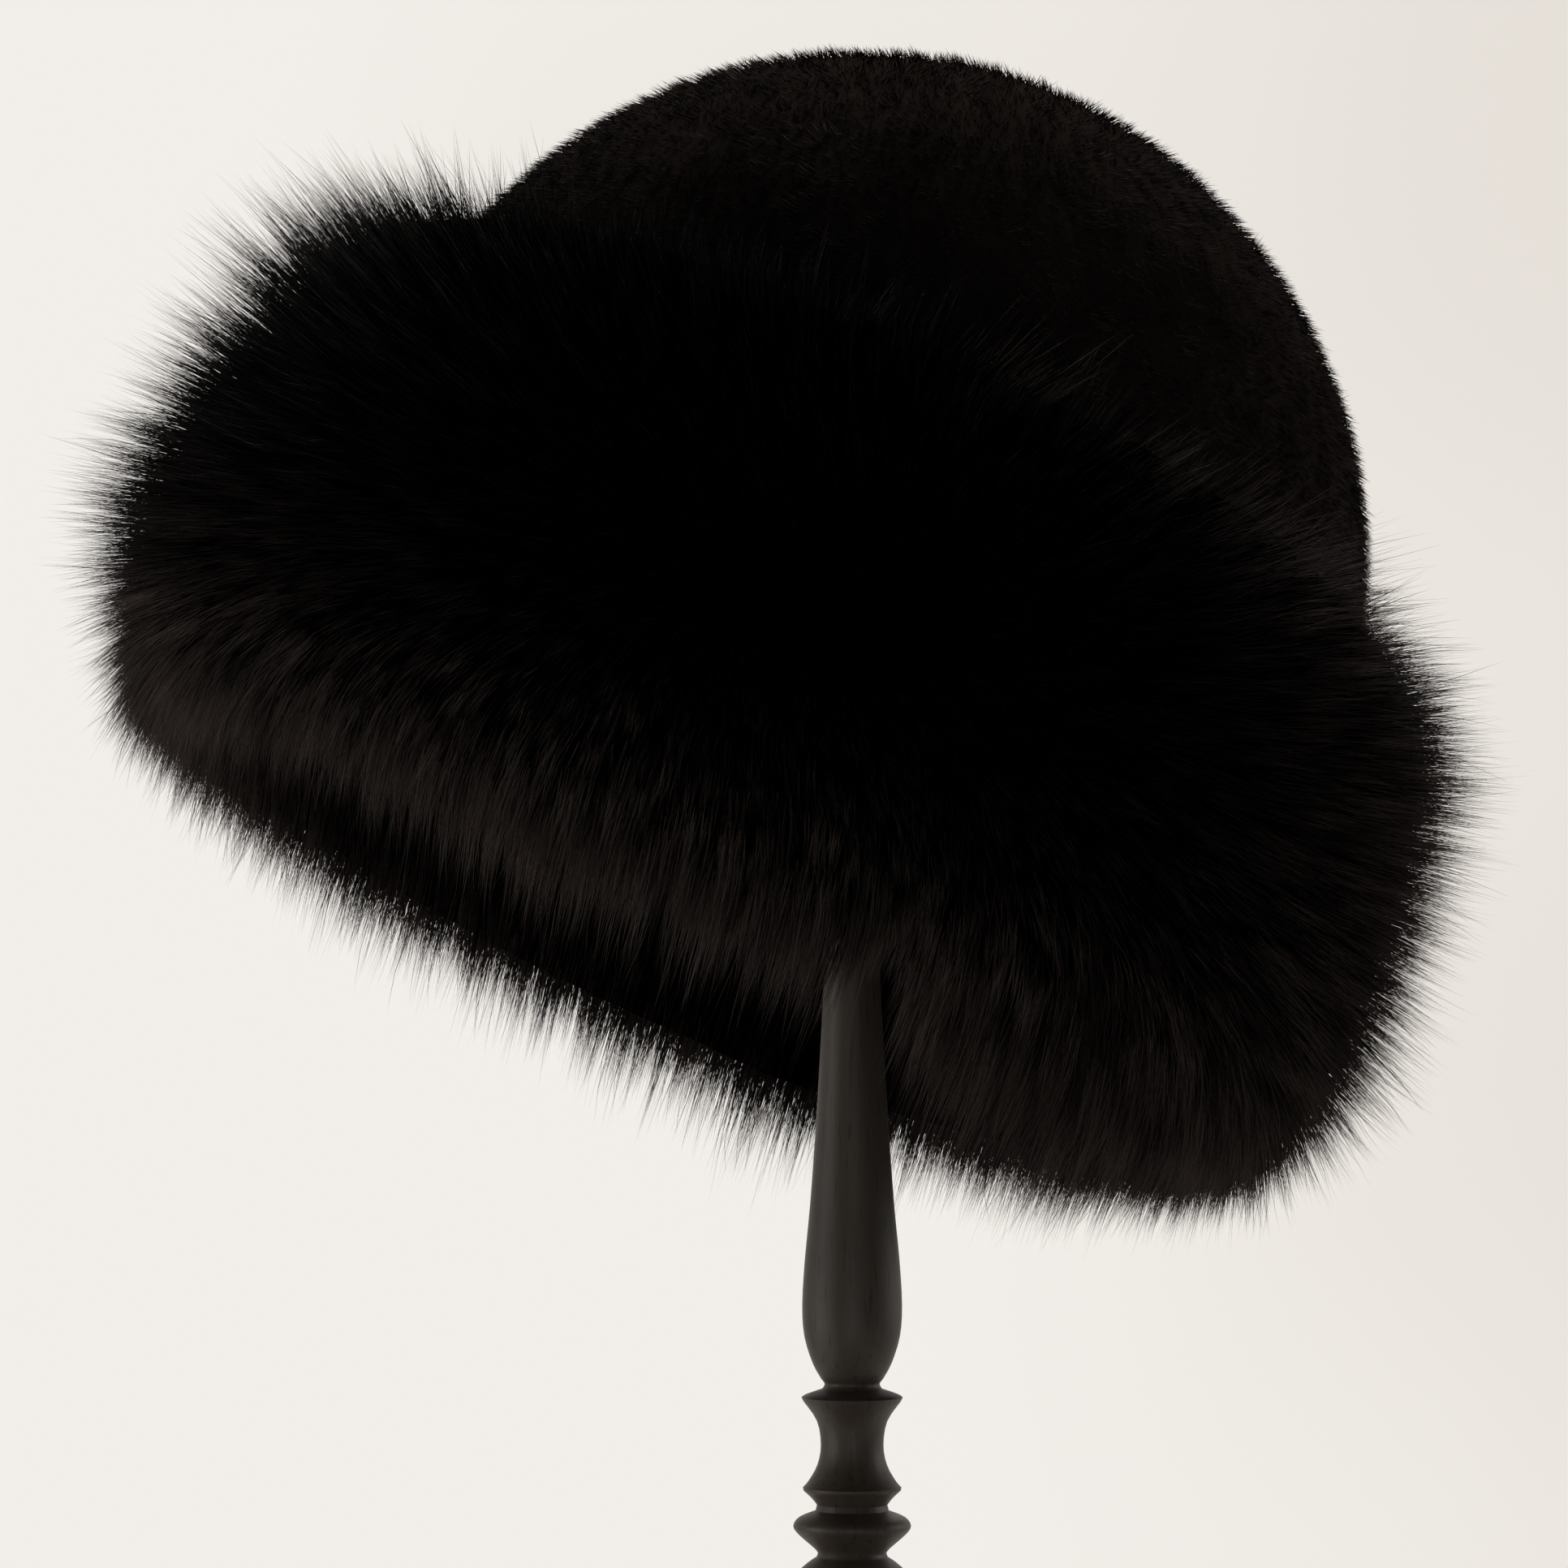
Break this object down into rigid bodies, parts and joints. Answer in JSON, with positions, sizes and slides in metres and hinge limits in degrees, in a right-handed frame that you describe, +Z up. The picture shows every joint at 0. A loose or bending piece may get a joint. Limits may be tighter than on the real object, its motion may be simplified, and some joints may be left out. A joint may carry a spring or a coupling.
{
  "type": "fur bucket hat on a turned hat stand",
  "caption": "Black fur bucket hat with a domed short-pile crown and a deep long-haired brim, tipped on a slender turned wooden hat stand with a round foot.",
  "frame": {"origin": "middle of the stand's foot, on the floor", "axes": "+Z up along the stand's post; +X to the side that the hat's crown tips towards; -Y is the picture's near side, where the brim is raised"},
  "size_m": [0.2831, 0.2729, 0.3833],
  "materials": {
    "short_fur": "dense sheared fur pile, matt with a faint sheen",
    "long_fur": "long loose glossy guard hair over dense underfur",
    "hide": "matt suede side of the dyed hide",
    "wood": "satin dark stained turned hardwood"
  },
  "bodies": {
    "root": {"crown": "short_fur", "brim": "hide", "brim_fur": "long_fur", "stand_head": "wood", "stand_post": "wood", "stand_base": "wood"}
  },
  "joints": []
}
